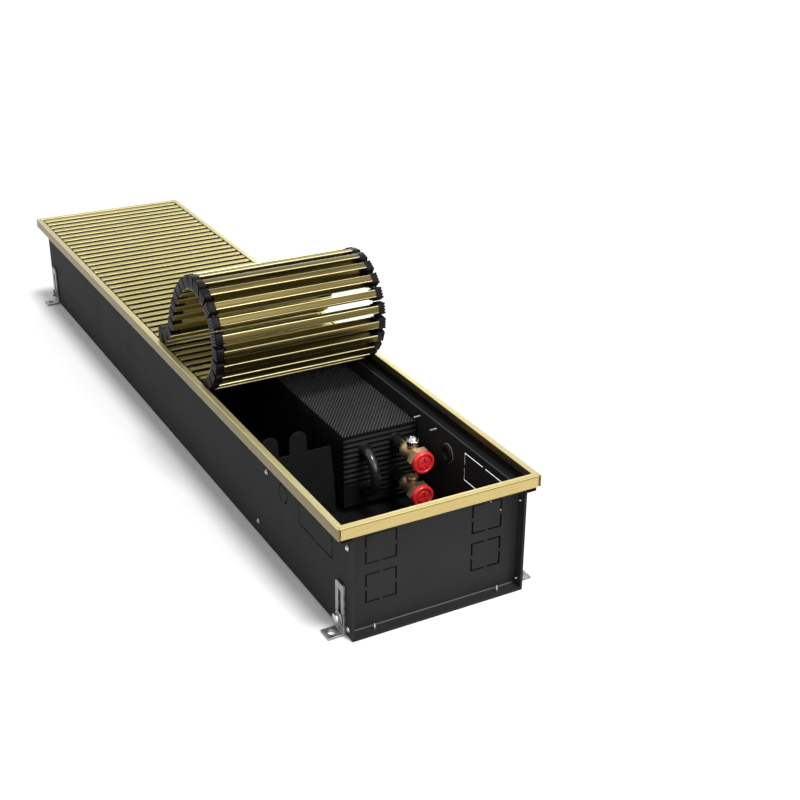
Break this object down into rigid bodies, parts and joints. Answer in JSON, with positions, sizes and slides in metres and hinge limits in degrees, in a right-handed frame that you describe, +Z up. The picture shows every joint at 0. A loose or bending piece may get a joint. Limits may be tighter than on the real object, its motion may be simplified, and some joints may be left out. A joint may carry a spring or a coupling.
{
  "type": "trench convector heater",
  "caption": "Long sheet metal floor trench with a rim frame, a partly rolled-up slatted grille, a finned pipe coil with capped fittings and four levelling feet.",
  "frame": {"origin": "centre of the bounding box at the trough's underside, which rests on the floor", "axes": "+X along the trough to the end with the pipe fittings, +Y across it to the side that holds the exchanger, +Z up"},
  "size_m": [1.066, 0.24, 0.2577],
  "materials": {
    "casing_coat": "fine-textured black coat on galvanised sheet, satin",
    "bracket_coat": "black coat on thin sheet, satin",
    "exchanger_coat": "black coat on fins and tube, half gloss",
    "frame_gold": "champagne gold anodised profile, satin",
    "grille_gold": "champagne gold anodised slats with black end caps, satin",
    "brass": "cast and turned brass, satin",
    "chrome": "bright plated, knurled",
    "red_plastic": "moulded red plastic, half gloss",
    "galvanised": "galvanised sheet, satin",
    "zinc_steel": "zinc plated, bright",
    "grommet_rubber": "moulded black rubber"
  },
  "bodies": {
    "casing": {"trough": "casing_coat", "end_plate_near": "casing_coat", "end_plate_far": "casing_coat", "side_rail_left": "frame_gold", "side_rail_right": "frame_gold", "end_rail_near": "frame_gold", "end_rail_far": "frame_gold", "grille_field": "grille_gold", "fin_pack": "exchanger_coat", "coil_tube": "exchanger_coat", "coil_support_near": "bracket_coat", "coil_support_far": "bracket_coat", "supply_fitting": "brass", "outlet_fitting": "brass", "channel_bracket": "bracket_coat", "cable_grommet": "grommet_rubber", "foot_bolt_near_left": "zinc_steel", "foot_bolt_near_right": "zinc_steel", "foot_bolt_far_left": "zinc_steel", "foot_bolt_far_right": "zinc_steel", "end_screw_left_1": "zinc_steel", "end_screw_left_2": "zinc_steel", "end_screw_right_1": "zinc_steel", "end_screw_right_2": "zinc_steel", "floor_screw_left": "zinc_steel", "floor_screw_right": "zinc_steel", "wall_screw_1": "zinc_steel", "wall_screw_2": "zinc_steel"},
    "slat_01": {"grille_slat_01": "grille_gold"},
    "slat_02": {"grille_slat_02": "grille_gold"},
    "slat_03": {"grille_slat_03": "grille_gold"},
    "slat_04": {"grille_slat_04": "grille_gold"},
    "slat_05": {"grille_slat_05": "grille_gold"},
    "slat_06": {"grille_slat_06": "grille_gold"},
    "slat_07": {"grille_slat_07": "grille_gold"},
    "slat_08": {"grille_slat_08": "grille_gold"},
    "slat_09": {"grille_slat_09": "grille_gold"},
    "slat_10": {"grille_slat_10": "grille_gold"},
    "slat_11": {"grille_slat_11": "grille_gold"},
    "slat_12": {"grille_slat_12": "grille_gold"},
    "slat_13": {"grille_slat_13": "grille_gold"},
    "slat_14": {"grille_slat_14": "grille_gold"},
    "slat_15": {"grille_slat_15": "grille_gold"},
    "slat_16": {"grille_slat_16": "grille_gold"},
    "slat_17": {"grille_slat_17": "grille_gold"},
    "slat_18": {"grille_slat_18": "grille_gold"},
    "slat_19": {"grille_slat_19": "grille_gold"},
    "slat_20": {"grille_slat_20": "grille_gold"},
    "slat_21": {"grille_slat_21": "grille_gold"},
    "slat_22": {"grille_slat_22": "grille_gold"},
    "supply_plug": {"supply_plug": "red_plastic"},
    "outlet_plug": {"outlet_plug": "red_plastic"},
    "vent_screw": {"vent_screw": "chrome"},
    "drain_screw": {"drain_screw": "brass"},
    "foot_near_left": {"foot_near_left": "galvanised"},
    "foot_near_right": {"foot_near_right": "galvanised"},
    "foot_far_left": {"foot_far_left": "galvanised"},
    "foot_far_right": {"foot_far_right": "galvanised"}
  },
  "joints": [
    {"name": "grille_unroll", "type": "hinge", "parent": "casing", "child": "slat_19", "pos_m": [0.27719, 0, 0.2851], "axis": [0, 1, 0], "range_deg": [0, 248.6]},
    {"name": "slat_turn_01", "type": "hinge", "parent": "casing", "child": "slat_01", "pos_m": [0.1452, 0, 0.1248], "axis": [0, 1, 0], "range_deg": [0, 13.41]},
    {"name": "slat_turn_02", "type": "hinge", "parent": "casing", "child": "slat_02", "pos_m": [0.1538, 0, 0.12581], "axis": [0, 1, 0], "range_deg": [0, 26.81]},
    {"name": "slat_turn_03", "type": "hinge", "parent": "casing", "child": "slat_03", "pos_m": [0.1624, 0, 0.12751], "axis": [0, 1, 0], "range_deg": [0, 40.21]},
    {"name": "slat_turn_04", "type": "hinge", "parent": "casing", "child": "slat_04", "pos_m": [0.171, 0, 0.12991], "axis": [0, 1, 0], "range_deg": [0, 53.61]},
    {"name": "slat_turn_05", "type": "hinge", "parent": "casing", "child": "slat_05", "pos_m": [0.18109, 0, 0.13359], "axis": [0, 1, 0], "range_deg": [0, 69.96]},
    {"name": "slat_turn_06", "type": "hinge", "parent": "casing", "child": "slat_06", "pos_m": [0.19068, 0, 0.13806], "axis": [0, 1, 0], "range_deg": [0, 86.31]},
    {"name": "slat_turn_07", "type": "hinge", "parent": "casing", "child": "slat_07", "pos_m": [0.2, 0, 0.14349], "axis": [0, 1, 0], "range_deg": [0, 102.66]},
    {"name": "slat_turn_08", "type": "hinge", "parent": "casing", "child": "slat_08", "pos_m": [0.20917, 0, 0.15001], "axis": [0, 1, 0], "range_deg": [0, 119.01]},
    {"name": "slat_turn_09", "type": "hinge", "parent": "casing", "child": "slat_09", "pos_m": [0.21826, 0, 0.1578], "axis": [0, 1, 0], "range_deg": [0, 135.36]},
    {"name": "slat_turn_10", "type": "hinge", "parent": "casing", "child": "slat_10", "pos_m": [0.22729, 0, 0.16705], "axis": [0, 1, 0], "range_deg": [0, 151.71]},
    {"name": "slat_turn_11", "type": "hinge", "parent": "casing", "child": "slat_11", "pos_m": [0.23629, 0, 0.17804], "axis": [0, 1, 0], "range_deg": [0, 168.06]},
    {"name": "slat_turn_12", "type": "hinge", "parent": "casing", "child": "slat_12", "pos_m": [0.24527, 0, 0.19114], "axis": [0, 1, 0], "range_deg": [0, 184.41]},
    {"name": "slat_turn_13", "type": "hinge", "parent": "casing", "child": "slat_13", "pos_m": [0.25427, 0, 0.20686], "axis": [0, 1, 0], "range_deg": [0, 200.76]},
    {"name": "slat_turn_14", "type": "hinge", "parent": "casing", "child": "slat_14", "pos_m": [0.26328, 0, 0.22598], "axis": [0, 1, 0], "range_deg": [0, 217.11]},
    {"name": "slat_turn_15", "type": "hinge", "parent": "casing", "child": "slat_15", "pos_m": [0.26664, 0, 0.23476], "axis": [0, 1, 0], "range_deg": [0, 223.41]},
    {"name": "slat_turn_16", "type": "hinge", "parent": "casing", "child": "slat_16", "pos_m": [0.26977, 0, 0.24491], "axis": [0, 1, 0], "range_deg": [0, 229.71]},
    {"name": "slat_turn_17", "type": "hinge", "parent": "casing", "child": "slat_17", "pos_m": [0.27262, 0, 0.25656], "axis": [0, 1, 0], "range_deg": [0, 236.01]},
    {"name": "slat_turn_18", "type": "hinge", "parent": "casing", "child": "slat_18", "pos_m": [0.27511, 0, 0.26988], "axis": [0, 1, 0], "range_deg": [0, 242.31]},
    {"name": "slat_hinge_20", "type": "hinge", "parent": "slat_19", "child": "slat_20", "pos_m": [0.05686, 0, 0.16221], "axis": [0, 1, 0], "range_deg": [-22.88, 0]},
    {"name": "slat_hinge_21", "type": "hinge", "parent": "slat_20", "child": "slat_21", "pos_m": [0.04485, 0, 0.14989], "axis": [0, 1, 0], "range_deg": [-22.88, 0]},
    {"name": "slat_hinge_22", "type": "hinge", "parent": "slat_21", "child": "slat_22", "pos_m": [0.029, 0, 0.14321], "axis": [0, 1, 0], "range_deg": [-22.88, 0]},
    {"name": "supply_plug_pull", "type": "slide", "parent": "casing", "child": "supply_plug", "axis": [1, 0, 0], "range_m": [0, 0.03]},
    {"name": "outlet_plug_pull", "type": "slide", "parent": "casing", "child": "outlet_plug", "axis": [1, 0, 0], "range_m": [0, 0.03]},
    {"name": "vent_turn", "type": "hinge", "parent": "casing", "child": "vent_screw", "pos_m": [0.3486, 0.069, 0.097], "axis": [0, 0, 1], "range_deg": [0, 180]},
    {"name": "drain_turn", "type": "hinge", "parent": "casing", "child": "drain_screw", "pos_m": [0.3486, 0.069, 0.054], "axis": [0, 0, 1], "range_deg": [0, 180]},
    {"name": "foot_near_left_level", "type": "slide", "parent": "casing", "child": "foot_near_left", "axis": [0, 0, 1], "range_m": [-0.028, 0]},
    {"name": "foot_near_right_level", "type": "slide", "parent": "casing", "child": "foot_near_right", "axis": [0, 0, 1], "range_m": [-0.028, 0]},
    {"name": "foot_far_left_level", "type": "slide", "parent": "casing", "child": "foot_far_left", "axis": [0, 0, 1], "range_m": [-0.028, 0]},
    {"name": "foot_far_right_level", "type": "slide", "parent": "casing", "child": "foot_far_right", "axis": [0, 0, 1], "range_m": [-0.028, 0]}
  ],
  "couplings": [
    {"joint": "slat_turn_01", "follows": "grille_unroll", "ratio": 0.053902},
    {"joint": "slat_turn_02", "follows": "grille_unroll", "ratio": 0.1078},
    {"joint": "slat_turn_03", "follows": "grille_unroll", "ratio": 0.16171},
    {"joint": "slat_turn_04", "follows": "grille_unroll", "ratio": 0.21561},
    {"joint": "slat_turn_05", "follows": "grille_unroll", "ratio": 0.28138},
    {"joint": "slat_turn_06", "follows": "grille_unroll", "ratio": 0.34714},
    {"joint": "slat_turn_07", "follows": "grille_unroll", "ratio": 0.41291},
    {"joint": "slat_turn_08", "follows": "grille_unroll", "ratio": 0.47868},
    {"joint": "slat_turn_09", "follows": "grille_unroll", "ratio": 0.54445},
    {"joint": "slat_turn_10", "follows": "grille_unroll", "ratio": 0.61022},
    {"joint": "slat_turn_11", "follows": "grille_unroll", "ratio": 0.67599},
    {"joint": "slat_turn_12", "follows": "grille_unroll", "ratio": 0.74175},
    {"joint": "slat_turn_13", "follows": "grille_unroll", "ratio": 0.80752},
    {"joint": "slat_turn_14", "follows": "grille_unroll", "ratio": 0.87329},
    {"joint": "slat_turn_15", "follows": "grille_unroll", "ratio": 0.89863},
    {"joint": "slat_turn_16", "follows": "grille_unroll", "ratio": 0.92397},
    {"joint": "slat_turn_17", "follows": "grille_unroll", "ratio": 0.94932},
    {"joint": "slat_turn_18", "follows": "grille_unroll", "ratio": 0.97466},
    {"joint": "slat_hinge_20", "follows": "grille_unroll", "ratio": -0.091982},
    {"joint": "slat_hinge_21", "follows": "grille_unroll", "ratio": -0.091982},
    {"joint": "slat_hinge_22", "follows": "grille_unroll", "ratio": -0.091982}
  ]
}
